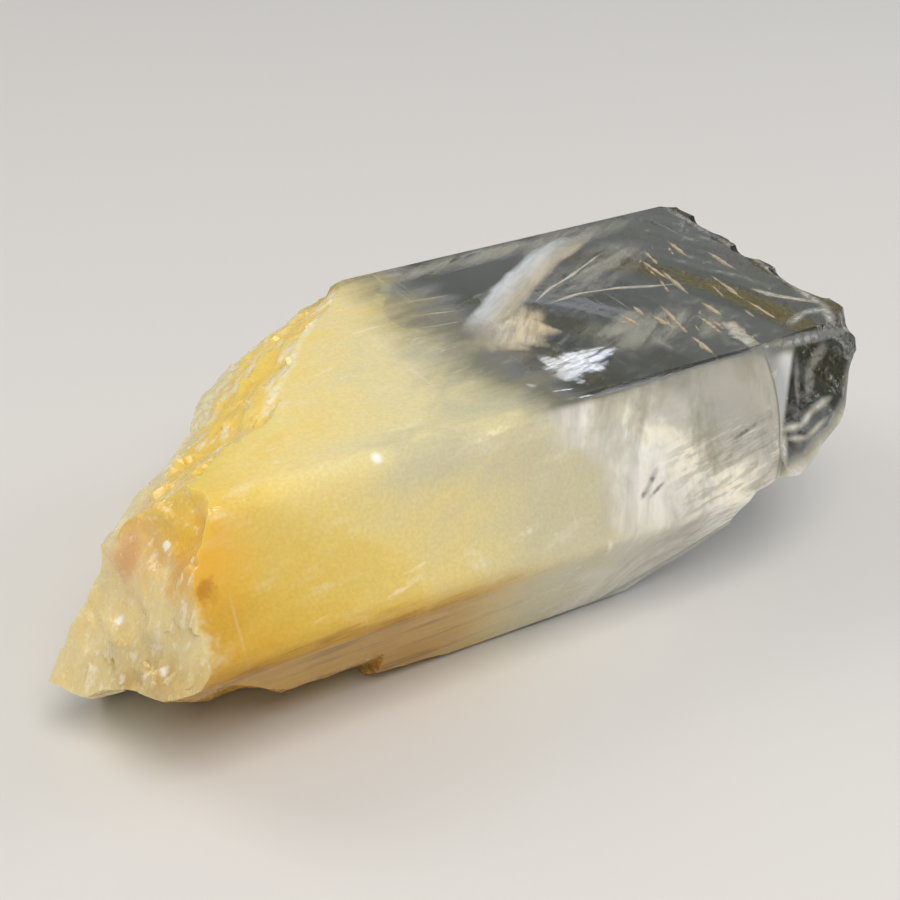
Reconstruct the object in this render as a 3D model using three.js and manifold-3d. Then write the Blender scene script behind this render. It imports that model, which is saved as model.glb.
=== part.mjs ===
// Mango quartz: one natural crystal fragment, a flattened six-sided prism that lies on a wide face.
// Millimetres, +Z up. +X runs along the crystal's long axis towards the clear broken end.
// The origin is under the middle of the crystal, on the surface that it rests on.
import * as THREE from "three";
import { mergeVertices } from "three/addons/utils/BufferGeometryUtils.js";
import Module from "manifold-3d";

const wasm = await Module();
wasm.setup();

// The prism before it broke. Neighbouring faces meet at 120 degrees, as on every quartz prism.
const thickness = 16.4; // between the wide upper and lower faces
const upperFaceWidth = 24.1; // the wide upper face, across the axis
const frontFaceWidth = thickness / 2 / Math.sin(Math.PI / 3); // each of the two front side faces
const backUpperFaceWidth = 11; // the taller of the two back side faces
const prismLength = 76; // longer than the fragment, so that both ends are breaks

// How the breaks are cut.
const breakPitch = 0.95; // grid pitch of a broken surface
const breakDepth = 40; // thickness of the block that a break takes away, more than any end has
const chipBulge = 3; // half height of a chip's ellipsoid, as a multiple of the chip's depth
const chipRoughness = 0.05; // unevenness of a chip's surface, as a share of its radius
const chipMeridians = 28;
const chipParallels = 18;

/** A number from -1 to 1 that depends only on a lattice point and a seed. */
function latticeValue(i, j, seed) {
  const wave = Math.sin(i * 127.1 + j * 311.7 + seed * 74.7) * 43758.5453;
  return 2 * (wave - Math.floor(wave)) - 1;
}

/** Smooth noise from -1 to 1 with one lattice point to each unit. */
function noise(x, y, seed) {
  const [i, j] = [Math.floor(x), Math.floor(y)];
  const [fx, fy] = [x - i, y - j].map((t) => t * t * (3 - 2 * t));
  const low = THREE.MathUtils.lerp(latticeValue(i, j, seed), latticeValue(i + 1, j, seed), fx);
  const high = THREE.MathUtils.lerp(latticeValue(i, j + 1, seed), latticeValue(i + 1, j + 1, seed), fx);
  return THREE.MathUtils.lerp(low, high, fy);
}

/** Height of a flight of ledges along u: flat treads with a short steep riser after each. */
function ledges(u, pitch, rise) {
  const step = u / pitch;
  const riser = THREE.MathUtils.smoothstep(step - Math.floor(step), 0.72, 1);
  return rise * (Math.floor(step) + riser - step);
}

/** Turns a closed geometry into a solid for cutting and joining. */
function toSolid(geometry) {
  const bare = geometry.clone();
  bare.deleteAttribute("normal");
  bare.deleteAttribute("uv");
  const merged = mergeVertices(bare, 1e-4);
  return new wasm.Manifold(
    new wasm.Mesh({
      numProp: 3,
      vertProperties: new Float32Array(merged.attributes.position.array),
      triVerts: new Uint32Array(merged.index.array),
    }),
  );
}

/** Turns a solid back into a geometry that a mesh can show. */
function toGeometry(solid) {
  const mesh = solid.getMesh();
  const geometry = new THREE.BufferGeometry();
  geometry.setAttribute("position", new THREE.BufferAttribute(mesh.vertProperties, 3));
  geometry.setIndex(new THREE.BufferAttribute(mesh.triVerts, 1));
  geometry.computeVertexNormals();
  return geometry;
}

/** A matrix that puts local +Z along a face's outward direction, and local X level. */
function facing([x, y, z], [nx, ny, nz]) {
  const outward = new THREE.Vector3(nx, ny, nz).normalize();
  const level = new THREE.Vector3(-ny, nx, 0);
  const along = level.lengthSq() > 1e-6 ? level.normalize() : new THREE.Vector3(1, 0, 0);
  const up = new THREE.Vector3().crossVectors(outward, along);
  return new THREE.Matrix4().makeBasis(along, up, outward).setPosition(x, y, z);
}

/**
 * What a break takes away: a block whose inner face is the broken surface.
 * relief(u, v) is the height of that surface over the flat plane, outwards.
 */
function broken({ at, outward, width, reach, relief }) {
  const columns = Math.round(width / breakPitch);
  const rows = Math.round(reach / breakPitch);
  const block = new THREE.BoxGeometry(width, reach, breakDepth, columns, rows, 1);
  const points = block.attributes.position;
  for (let i = 0; i < points.count; i += 1) {
    const inner = points.getZ(i) < 0;
    points.setZ(i, inner ? relief(points.getX(i), points.getY(i)) : breakDepth);
  }
  block.applyMatrix4(facing(at, outward));
  return toSolid(block);
}

/** What a shell-shaped chip takes away: an uneven ellipsoid set depth deep into a face. */
function chip({ at, outward, across, along, depth }) {
  const bulge = chipBulge * depth;
  const spread = 1 / Math.sqrt(1 - (1 - 1 / chipBulge) ** 2);
  const ball = new THREE.SphereGeometry(1, chipMeridians, chipParallels);
  const points = ball.attributes.position;
  for (let i = 0; i < points.count; i += 1) {
    const [x, y, z] = [points.getX(i), points.getY(i), points.getZ(i)];
    const radius = 1 + chipRoughness * noise(3 * x + at[0], 3 * y + at[1], 51);
    points.setXYZ(i, radius * x, radius * y, radius * z);
  }
  ball.scale((across / 2) * spread, (along / 2) * spread, bulge);
  ball.translate(0, 0, bulge - depth);
  ball.applyMatrix4(facing(at, outward));
  return toSolid(ball);
}

/** The unbroken prism, swept along X from its six-sided section. */
function prism() {
  const lean = frontFaceWidth * Math.cos(Math.PI / 3);
  const backLean = backUpperFaceWidth * Math.cos(Math.PI / 3);
  const backRidge = thickness - backUpperFaceWidth * Math.sin(Math.PI / 3);
  const half = upperFaceWidth / 2;
  const lowerBack = half + backLean - backRidge / Math.tan(Math.PI / 3);
  const section = new THREE.Shape();
  section.moveTo(-half, thickness);
  section.lineTo(-half - lean, thickness / 2);
  section.lineTo(-half, 0);
  section.lineTo(lowerBack, 0);
  section.lineTo(half + backLean, backRidge);
  section.lineTo(half, thickness);
  const body = new THREE.ExtrudeGeometry(section, { depth: prismLength, steps: 1, bevelEnabled: false });
  const sweep = new THREE.Matrix4().makeBasis(
    new THREE.Vector3(0, 1, 0),
    new THREE.Vector3(0, 0, 1),
    new THREE.Vector3(1, 0, 0),
  );
  body.applyMatrix4(sweep);
  body.translate(-prismLength / 2, 0, 0);
  return toSolid(body);
}

/** The overhanging break at the clear end: a steep rim over a shallower, shell-like lower part. */
function clearEnd() {
  const rim = broken({
    at: [28.4, 0, 16.4],
    outward: [0.985, -0.1, -0.12],
    width: 56,
    reach: 50,
    relief: (u, v) => 0.25 * noise(u / 4, v / 4, 3) + 0.2 * noise(u / 1.7, v / 1.7, 4),
  });
  const shell = broken({
    at: [21.2, -16, 9],
    outward: [0.609, -0.06, -0.79],
    width: 70,
    reach: 60,
    relief: (u, v) => {
      const fromCrest = Math.hypot(u - 2, v + 39.2) - 41.7;
      const crest = Math.exp(-((fromCrest / 4) ** 2));
      return 1.75 * crest + 0.14 * Math.sin(1.3 * fromCrest) + 0.16 * noise(u / 7, v / 6, 6) - 1.25;
    },
  });
  return [rim, shell];
}

/** The long slanting break across the back of the yellow end. */
function backBreak() {
  const slope = broken({
    at: [-12, 0.6, 16.4],
    outward: [-0.45, 0.482, 0.752],
    width: 60,
    reach: 34,
    relief: (u, v) => {
      const sag = THREE.MathUtils.smoothstep(-v, 1.5, 4) * THREE.MathUtils.smoothstep(u, -8, 3);
      const swell = THREE.MathUtils.smoothstep(-v, 1.5, 4) - sag;
      const bite = 0.75 * THREE.MathUtils.smoothstep(u, -8, -3) + 0.9 * Math.exp(-(((u - 5.3) / 2.6) ** 2));
      const hollow = bite * THREE.MathUtils.smoothstep(v, -4, -0.5);
      const ragged = 0.35 * noise(u / 5, v / 2.5, 11) + ledges(v + 0.1 * u, 2.9, 0.6);
      return 0.45 * swell - 0.5 * sag - hollow + ragged;
    },
  });
  const steep = broken({
    at: [-14.5, 6.7, 10.5],
    outward: [-0.737, 0.653, 0.17],
    width: 64,
    reach: 34,
    relief: (u, v) => {
      const nearTip = THREE.MathUtils.smoothstep(u, 16.5, 21.5);
      const nearBack = 1 - THREE.MathUtils.smoothstep(u, -2, 3);
      const between = THREE.MathUtils.smoothstep(u, -2, 3) - THREE.MathUtils.smoothstep(u, 10, 14);
      const sweep = 1.9 * nearTip + 0.5 * nearBack - 0.5 * between;
      return sweep + 0.4 * noise(u / 6, v / 4, 5) + 0.2 * noise(u / 2, v / 2, 7);
    },
  });
  return [slope, steep];
}

/** The ragged tip of the yellow end, and the undercut below it. */
function tip() {
  const upper = broken({
    at: [-20.4, -9.5, 16.4],
    outward: [-0.81, -0.124, 0.574],
    width: 40,
    reach: 40,
    relief: (u, v) => 0.55 * noise(u / 3, v / 3, 8) + ledges(v + 0.3 * u, 3.4, 0.2),
  });
  const front = broken({
    at: [-26.2, -11.5, 7],
    outward: [-0.83, -0.42, 0.36],
    width: 44,
    reach: 44,
    relief: (u, v) => {
      const nearTip = THREE.MathUtils.smoothstep(-u, 3, 5);
      return 0.9 * nearTip + 0.4 * noise(u / 2.2, v / 5, 21) + 0.2 * noise(u, v / 1.5, 22) - 0.1;
    },
  });
  const under = broken({
    at: [-17.8, -9.3, 0],
    outward: [-0.306, -0.551, -0.777],
    width: 56,
    reach: 40,
    relief: (u, v) => {
      const feet = 0.35 * Math.cos(0.9 * (u + 3.1));
      const nearTip = THREE.MathUtils.smoothstep(-u, 8.5, 11);
      return feet - 0.9 * nearTip + 0.15 * noise(u / 2, v / 2, 31) - 0.2;
    },
  });
  const notch = chip({
    at: [-25.9, -6.8, 11],
    outward: [-0.85, 0, 0.5],
    across: 4,
    along: 2,
    depth: 0.6,
  });
  return [upper, front, under, notch];
}

/** The bevels broken off the lower front edge. The first ends in a small step. */
function lowerFront() {
  const stepped = broken({
    at: [-22, -9.75, 0],
    outward: [0, -0.66, -0.75],
    width: 23,
    reach: 24,
    relief: (u, v) => 0.15 * noise(u / 2.5, v / 2.5, 41),
  });
  const worn = broken({
    at: [-6.4, -11.55, 0],
    outward: [-0.09, -0.62, -0.78],
    width: 30,
    reach: 20,
    relief: (u, v) => 0.08 * noise(u / 2.5, v / 2.5, 43),
  });
  return [stepped, worn];
}

/** The shell-shaped chips on the prism's faces and along its edges. */
function chips() {
  const upperFront = [0, -Math.sin(Math.PI / 3), 0.5];
  return [
    chip({ at: [25, -14.1, 12.4], outward: upperFront, across: 12, along: 16, depth: 0.35 }),
    chip({ at: [27.2, -11.7, 16.2], outward: [0.6, -0.45, 0.66], across: 4.4, along: 3.4, depth: 0.8 }),
    chip({ at: [27.4, -5.5, 16.4], outward: [0.6, 0, 0.8], across: 5.2, along: 1.6, depth: 0.2 }),
    chip({ at: [28, 0.6, 16.4], outward: [0.5, 0.1, 0.86], across: 3.2, along: 1.8, depth: 0.25 }),
    chip({ at: [28.8, 6.2, 16.4], outward: [0.7, 0, 0.7], across: 4.4, along: 1.6, depth: 0.2 }),
    chip({ at: [28.8, 12.6, 15.6], outward: [0.6, 0.6, 0.5], across: 4.6, along: 3.2, depth: 0.4 }),
    chip({ at: [16.7, -16.2, 7.4], outward: [0.3, -0.6, -0.74], across: 6.6, along: 4.8, depth: 0.95 }),
    chip({ at: [10, 17.2, 7.4], outward: [0.1, 0.95, -0.25], across: 13, along: 6, depth: 0.9 }),
    chip({ at: [2, 14.2, 0.6], outward: [0, 0.6, -0.8], across: 9, along: 4, depth: 0.7 }),
  ];
}

let crystal = prism();
for (const taken of [...clearEnd(), ...backBreak(), ...tip(), ...lowerFront(), ...chips()]) {
  crystal = crystal.subtract(taken);
}

const geometry = toGeometry(crystal);
geometry.computeBoundingBox();
const { min, max } = geometry.boundingBox;
geometry.translate(-(min.x + max.x) / 2, -(min.y + max.y) / 2, -min.z);

const quartz = new THREE.MeshStandardMaterial({ color: 0xe3cf86, roughness: 0.25, metalness: 0 });
const mesh = new THREE.Mesh(geometry, quartz);
mesh.name = "mango_quartz_crystal";

const group = new THREE.Group();
group.add(mesh);

export default group;
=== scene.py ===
"""Mango quartz: a broken quartz prism, milky yellow with halloysite at one end and clear at the other.

The crystal is shaped in millimetres in its own coordinates: +X runs along the prism towards the
clear end, +Z is up, and Z is 0 on the face that it rests on. A last step scales it to metres and
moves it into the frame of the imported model.
"""
import logging
import math
from contextlib import contextmanager
from dataclasses import dataclass, field, replace
from enum import Enum
from typing import Any, Callable, Iterator, Optional, Sequence

import bpy
import numpy as np
from mathutils import Matrix, Vector


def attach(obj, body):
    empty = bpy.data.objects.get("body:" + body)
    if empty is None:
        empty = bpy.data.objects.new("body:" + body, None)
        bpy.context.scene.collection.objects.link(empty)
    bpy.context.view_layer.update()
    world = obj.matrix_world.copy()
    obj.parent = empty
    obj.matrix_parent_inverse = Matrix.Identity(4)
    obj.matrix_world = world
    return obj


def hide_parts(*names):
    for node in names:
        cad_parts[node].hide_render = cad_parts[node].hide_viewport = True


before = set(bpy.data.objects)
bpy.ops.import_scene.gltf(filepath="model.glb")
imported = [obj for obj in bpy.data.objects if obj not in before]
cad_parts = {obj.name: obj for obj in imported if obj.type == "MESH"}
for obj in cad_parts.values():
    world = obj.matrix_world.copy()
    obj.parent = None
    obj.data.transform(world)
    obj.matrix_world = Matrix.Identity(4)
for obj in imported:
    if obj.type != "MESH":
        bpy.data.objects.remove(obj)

log = logging.getLogger("mango_quartz")

Vec = tuple[float, float, float]
Pair = tuple[float, float]
Drawn = tuple[Vec, Vec]  # factors along three axes, and turns about them in degrees
Array = np.ndarray
Relief = Callable[[Array, Array], Array]
Piece = bpy.types.Object

NODE = "mango_quartz_crystal"
MM = 0.001  # metres in a millimetre
FRAME_ORIGIN: Vec = (0.022, 0.383, 0.0)  # the frame's origin in the crystal's own millimetres


class Surface(Enum):
    """Which finish a face of the crystal has; the value is its material slot."""

    PRISM = 0
    GLASSY_BREAK = 1
    CHIP = 2
    LEDGED_BREAK = 3
    STEEP_BREAK = 4
    TIP_UPPER = 5
    TIP_FRONT = 6
    FOOT = 7
    PRISM_FRONT = 8
    PRISM_TOP = 9


# ---- Numbers over a surface ----


def smoothstep(x: Array, low: float, high: float) -> Array:
    """Return the smooth step of x between two limits.

    Args:
        x: Values.
        low: Where the step begins.
        high: Where the step ends.

    Returns:
        Values from 0 to 1.
    """
    t = np.clip((x - low) / (high - low), 0.0, 1.0)
    return t * t * (3.0 - 2.0 * t)


def lattice(i: Array, j: Array, seed: float) -> Array:
    """Return a number from -1 to 1 that depends only on a lattice point and a seed.

    Args:
        i: Column of the lattice point.
        j: Row of the lattice point.
        seed: Which pattern.

    Returns:
        One number for each lattice point.
    """
    wave = np.sin(i * 127.1 + j * 311.7 + seed * 74.7) * 43758.5453
    return 2.0 * (wave - np.floor(wave)) - 1.0


def noise(x: Array, y: Array, seed: float) -> Array:
    """Return smooth noise from -1 to 1 with one lattice point to each unit.

    Args:
        x: First coordinate.
        y: Second coordinate.
        seed: Which pattern.

    Returns:
        One value for each point.
    """
    i, j = np.floor(x), np.floor(y)
    fx, fy = x - i, y - j
    fx, fy = fx * fx * (3.0 - 2.0 * fx), fy * fy * (3.0 - 2.0 * fy)
    low = lattice(i, j, seed) * (1 - fx) + lattice(i + 1, j, seed) * fx
    high = lattice(i, j + 1, seed) * (1 - fx) + lattice(i + 1, j + 1, seed) * fx
    return low * (1 - fy) + high * fy


def ledges(u: Array, pitch: float, rise: float) -> Array:
    """Return the height of a flight of ledges: flat treads with a short steep riser after each.

    Args:
        u: Distance across the ledges.
        pitch: Width of one ledge.
        rise: Height of one riser.

    Returns:
        Heights over the mean slope.
    """
    step = u / pitch
    riser = smoothstep(step - np.floor(step), 0.72, 1.0)
    return rise * (np.floor(step) + riser - step)


def hackle(u: Array, v: Array, size: Sequence[float], lean: float, seed: float) -> Array:
    """Return the height of a hackly surface: small flat facets, each with a lean of its own.

    Args:
        u: First coordinate.
        v: Second coordinate.
        size: Mean width of a facet along u and v.
        lean: Steepest lean of a facet.
        seed: Which pattern.

    Returns:
        Heights, with a small step from facet to facet.
    """
    x, y = u / size[0], v / size[1]
    best = np.full(x.shape, np.inf)
    height = np.zeros(x.shape)
    for di in (-1, 0, 1):
        for dj in (-1, 0, 1):
            i, j = np.floor(x) + di, np.floor(y) + dj
            dx = x - (i + 0.5 + 0.45 * lattice(i, j, seed))
            dy = y - (j + 0.5 + 0.45 * lattice(i, j, seed + 1))
            near = dx * dx + dy * dy
            tilt_x, tilt_y = lattice(i, j, seed + 2), lattice(i, j, seed + 3)
            facet = lean * (tilt_x * dx * size[0] + tilt_y * dy * size[1])
            facet = facet + 0.25 * lean * min(size) * lattice(i, j, seed + 4)
            closer = near < best
            best = np.where(closer, near, best)
            height = np.where(closer, facet, height)
    return height


# ---- Work in Blender ----


def deselect_all() -> None:
    """Leave edit mode and select nothing."""
    if bpy.context.object and bpy.context.object.mode != "OBJECT":
        bpy.ops.object.mode_set(mode="OBJECT")
    bpy.ops.object.select_all(action="DESELECT")


def only(piece: Piece) -> None:
    """Select one piece alone and make it active."""
    deselect_all()
    piece.select_set(True)
    bpy.context.view_layer.objects.active = piece


@contextmanager
def editing(piece: Piece) -> Iterator[None]:
    """Edit one piece with all of it selected, and leave edit mode afterwards."""
    only(piece)
    bpy.ops.object.mode_set(mode="EDIT")
    bpy.ops.mesh.select_all(action="SELECT")
    yield
    bpy.ops.object.mode_set(mode="OBJECT")


def coordinates(piece: Piece) -> Array:
    """Return a piece's vertex coordinates as an array of rows."""
    points = np.empty(len(piece.data.vertices) * 3)
    piece.data.vertices.foreach_get("co", points)
    return points.reshape(-1, 3)


def set_coordinates(piece: Piece, points: Array) -> None:
    """Give a piece's vertices new coordinates.

    Args:
        piece: The mesh object.
        points: One row for each vertex.
    """
    piece.data.vertices.foreach_set("co", np.ascontiguousarray(points).ravel())
    piece.data.update()


def facing(at: Sequence[float], outward: Sequence[float]) -> Matrix:
    """Return the matrix that puts +Z along a face's outward direction, and X level.

    Args:
        at: A point on the face.
        outward: Direction away from the material.

    Returns:
        A rigid transform.
    """
    normal = Vector(outward).normalized()
    level = Vector((-normal.y, normal.x, 0.0))
    along = level.normalized() if level.length > 1e-3 else Vector((1.0, 0.0, 0.0))
    up = normal.cross(along)
    turn = Matrix((along, up, normal)).transposed()
    return Matrix.Translation(Vector(at)) @ turn.to_4x4()


def carried(points: Array, by: Matrix) -> Array:
    """Return points after a rigid transform, one row for each."""
    return points @ np.array(by.to_3x3()).T + np.array(by.translation)


def cut(body: Piece, tool: Piece) -> None:
    """Cut one solid with another and delete the tool.

    Args:
        body: The solid that stays.
        tool: The solid that cuts it.
    """
    only(body)
    modifier = body.modifiers.new("cut", "BOOLEAN")
    modifier.operation = "DIFFERENCE"
    modifier.solver = "MANIFOLD"
    modifier.object = tool
    bpy.ops.object.modifier_apply(modifier=modifier.name)
    bpy.data.objects.remove(tool, do_unlink=True)


def clean(body: Piece) -> None:
    """Take the slivers of a few micrometres out of a solid after its cuts, and part it into triangles.

    Args:
        body: The solid.
    """
    with editing(body):
        bpy.ops.mesh.remove_doubles(threshold=0.004)
        bpy.ops.mesh.dissolve_degenerate(threshold=0.002)
        bpy.ops.mesh.quads_convert_to_tris(quad_method="BEAUTY", ngon_method="BEAUTY")


def place_in_frame(piece: Piece) -> None:
    """Take a finished piece from the crystal's own millimetres to the frame's metres.

    Args:
        piece: The mesh object, at the origin and unturned.
    """
    set_coordinates(piece, (coordinates(piece) - np.array(FRAME_ORIGIN)) * MM)


def finish_piece(piece: Piece, name: str, sharp_from: float = 30.0) -> Piece:
    """Name, place and shade a piece, and let it ride on the part's one body.

    Args:
        piece: The mesh object.
        name: Its name.
        sharp_from: Angle in degrees from which an edge shows as sharp.

    Returns:
        The same object.
    """
    piece.name = name
    piece.data.name = name
    place_in_frame(piece)
    only(piece)
    bpy.ops.object.shade_smooth_by_angle(angle=math.radians(sharp_from))
    deselect_all()
    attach(piece, "root")
    log.info("%s: %d faces", name, len(piece.data.polygons))
    return piece


# ---- Finishes ----


def srgb(code: str) -> tuple[float, float, float, float]:
    """Turn an sRGB hex colour into a linear one.

    Args:
        code: Six hex digits.

    Returns:
        Red, green, blue and an alpha of 1.
    """
    values = [int(code[i : i + 2], 16) / 255.0 for i in (0, 2, 4)]
    linear = [v / 12.92 if v <= 0.04045 else ((v + 0.055) / 1.055) ** 2.4 for v in values]
    return (linear[0], linear[1], linear[2], 1.0)


def add_node(
    tree: bpy.types.NodeTree, kind: str, settings: Optional[dict[str, Any]] = None, inputs: Any = None
) -> bpy.types.Node:
    """Add a node with its settings and links.

    Args:
        tree: The material's node tree.
        kind: The node's type, such as ShaderNodeTexNoise.
        settings: Properties of the node.
        inputs: What goes into each named input, or into the open inputs in their order: a value,
            a hex colour or another node's output.

    Returns:
        The new node.
    """
    node = tree.nodes.new(kind)
    for key, setting in (settings or {}).items():
        setattr(node, key, setting)
    if isinstance(inputs, tuple):
        open_inputs = (k for k, socket in enumerate(node.inputs) if socket.enabled)
        inputs = dict(zip(open_inputs, inputs))
    for key, value in (inputs or {}).items():
        source = value.socket if isinstance(value, Value) else value
        if isinstance(source, bpy.types.NodeSocket):
            tree.links.new(source, node.inputs[key])
        else:
            node.inputs[key].default_value = srgb(source) if isinstance(source, str) else source
    return node


@dataclass(frozen=True)
class Value:
    """A node's output, which can be reckoned with like a number."""

    socket: bpy.types.NodeSocket

    @property
    def parts(self) -> list["Value"]:
        """The three parts of a place."""
        return [Value(part) for part in Kind.PARTS(self).socket.node.outputs]

    def __add__(self, other: Any) -> "Value":
        """Return the sum."""
        return Kind.PLUS(self, other)

    def __sub__(self, other: Any) -> "Value":
        """Return the difference."""
        return Kind.MINUS(self, other)

    def __rsub__(self, other: Any) -> "Value":
        """Return a number less this value."""
        return Kind.MINUS(other, self)

    def __mul__(self, other: Any) -> "Value":
        """Return the product."""
        return Kind.TIMES(self, other)

    def __truediv__(self, other: Any) -> "Value":
        """Return the quotient."""
        return Kind.OVER(self, other)


class Kind(Enum):
    """The nodes that values go through: type and settings. Called, a kind adds a node."""

    PLUS = ("ShaderNodeMath", {"operation": "ADD"})
    MINUS = ("ShaderNodeMath", {"operation": "SUBTRACT"})
    TIMES = ("ShaderNodeMath", {"operation": "MULTIPLY"})
    OVER = ("ShaderNodeMath", {"operation": "DIVIDE"})
    LEAST = ("ShaderNodeMath", {"operation": "MINIMUM"})
    MOST = ("ShaderNodeMath", {"operation": "MAXIMUM"})
    STEP = ("ShaderNodeMapRange", {"interpolation_type": "SMOOTHSTEP"})
    BLEND = ("ShaderNodeMix", {"data_type": "RGBA"})
    TINT = ("ShaderNodeMix", {"data_type": "RGBA", "blend_type": "MULTIPLY"})
    RAMP = ("ShaderNodeValToRGB", {})
    NOISE = ("ShaderNodeTexNoise", {"normalize": True})
    FRAME = ("ShaderNodeMapping", {"vector_type": "TEXTURE"})
    PARTS = ("ShaderNodeSeparateXYZ", {})
    LENGTH = ("ShaderNodeVectorMath", {"operation": "LENGTH"})
    DISTANCE = ("ShaderNodeVectorMath", {"operation": "DISTANCE"})

    def __call__(self, *inputs: Any) -> Value:
        """Add a node of this kind.

        Args:
            inputs: What goes into its open inputs, in their order.

        Returns:
            Its output.
        """
        tree = next(value.socket.id_data for value in inputs if isinstance(value, Value))
        node = add_node(tree, *self.value, inputs)
        return Value(next(output for output in node.outputs if output.enabled))


def place_on_crystal(tree: bpy.types.NodeTree) -> Value:
    """Return the place on the crystal, in its own millimetres."""
    place = add_node(tree, "ShaderNodeTexCoord").outputs["Object"]
    inputs = {"Vector": place, "Location": FRAME_ORIGIN, "Scale": (1 / MM, 1 / MM, 1 / MM)}
    return Value(add_node(tree, "ShaderNodeMapping", None, inputs).outputs[0])


def with_stops(ramp: Value, stops: Sequence[tuple[float, str]]) -> Value:
    """Give a colour ramp its stops.

    Args:
        ramp: The ramp's output.
        stops: Positions and hex colours.

    Returns:
        The same output.
    """
    elements = ramp.socket.node.color_ramp.elements
    while len(elements) < len(stops):
        elements.new(0.5)
    for element, (position, code) in zip(elements, stops):
        element.position = position
        element.color = srgb(code)
    return ramp


def pattern(
    at: Value, grain: float, detail: float = 3.0, rough: float = 0.5, warp: float = 0.0,
    drawn: Optional[Drawn] = None,
) -> Value:
    """Return a random pattern whose lumps have a given size.

    Args:
        at: Place on the crystal in millimetres.
        grain: Size of a lump in millimetres.
        detail: How many finer layers it has.
        rough: How strong the finer layers are.
        warp: How far the pattern is pulled about.
        drawn: Factors below 1 that draw it out along its axes, and their turns in degrees.

    Returns:
        The pattern, about 0.5 in the mean.
    """
    finer = 2.0  # how much smaller the lumps of each layer are
    if drawn:
        factors, turns = drawn
        turned = tuple(math.radians(turn) for turn in turns)
        at = Kind.FRAME(at, (0, 0, 0), turned, tuple(1.0 / factor for factor in factors))
    return Kind.NOISE(at, 1.0 / grain, detail, rough, finer, warp)


def round_patch(at: Value, centre: Vec, radius: float, ragged: Value) -> Value:
    """Return 1 at a centre, falling to 0 at a distance from it.

    Args:
        at: Place on the crystal in millimetres.
        centre: The centre.
        radius: The distance at which it ends.
        ragged: What is added to the distance.

    Returns:
        A value from 0 to 1.
    """
    return Kind.STEP(Kind.DISTANCE(at, centre) + ragged, radius, 0.1 * radius)


def long_patch(at: Value, centre: Vec, axes: Matrix, size: Vec) -> Value:
    """Return 1 at the centre of an ellipsoid, falling to 0 at its surface.

    Args:
        at: Place on the crystal in millimetres.
        centre: The ellipsoid's centre.
        axes: The directions of its three axes, as columns.
        size: Its three half lengths.

    Returns:
        A value from 0 to 1.
    """
    inside = Kind.FRAME(at, centre, tuple(axes.to_euler()), size)
    return Kind.STEP(Kind.LENGTH(inside), 1.0, 0.1)


def new_material(name: str) -> bpy.types.Material:
    """Return an empty node material, named for what it is."""
    material = bpy.data.materials.new(name)
    material.use_nodes = True
    material.node_tree.nodes.clear()
    return material


@dataclass(frozen=True)
class PrismSection:
    """The six-sided section of the prism; neighbouring faces meet at 120 degrees."""

    thickness: float = 16.4
    upper_width: float = 24.1
    back_upper_width: float = 11.0

    def front_at(self, z: float) -> float:
        """Return y on the upper front face at a height."""
        return -self.upper_width / 2 - (self.thickness - z) / math.tan(math.radians(60.0))

    def holds(self, normal: Vector) -> bool:
        """Return whether a face with this normal is one of the six flat ones."""
        nearly_level, nearly_flat = 0.001, 0.1  # part along the crystal, and degrees
        turn = (math.degrees(math.atan2(normal.z, normal.y)) - 30.0) % 60.0
        return abs(normal.x) < nearly_level and min(turn, 60.0 - turn) < nearly_flat

    def corners(self, inset: float = 0.0) -> list[Pair]:
        """Return the corners as y and z.

        Args:
            inset: How far each face lies inside the crystal's own.

        Returns:
            Six corners, starting at the upper front edge.
        """
        sixty = math.radians(60.0)
        half = self.upper_width / 2
        front = self.thickness / 2 / math.sin(sixty) * math.cos(sixty)
        back = self.back_upper_width * math.cos(sixty)
        ridge = self.thickness - self.back_upper_width * math.sin(sixty)
        points = [
            (-half, self.thickness),
            (-half - front, self.thickness / 2),
            (-half, 0.0),
            (half + back - ridge / math.tan(sixty), 0.0),
            (half + back, ridge),
            (half, self.thickness),
        ]
        if not inset:
            return points
        moved = []
        for i, (y, z) in enumerate(points):
            before, after = Vector(points[i - 1]), Vector(points[(i + 1) % 6])
            here = Vector((y, z))
            towards = (before - here).normalized() + (after - here).normalized()
            moved.append(tuple(here + towards * inset / math.sin(sixty)))
        return moved


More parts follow.
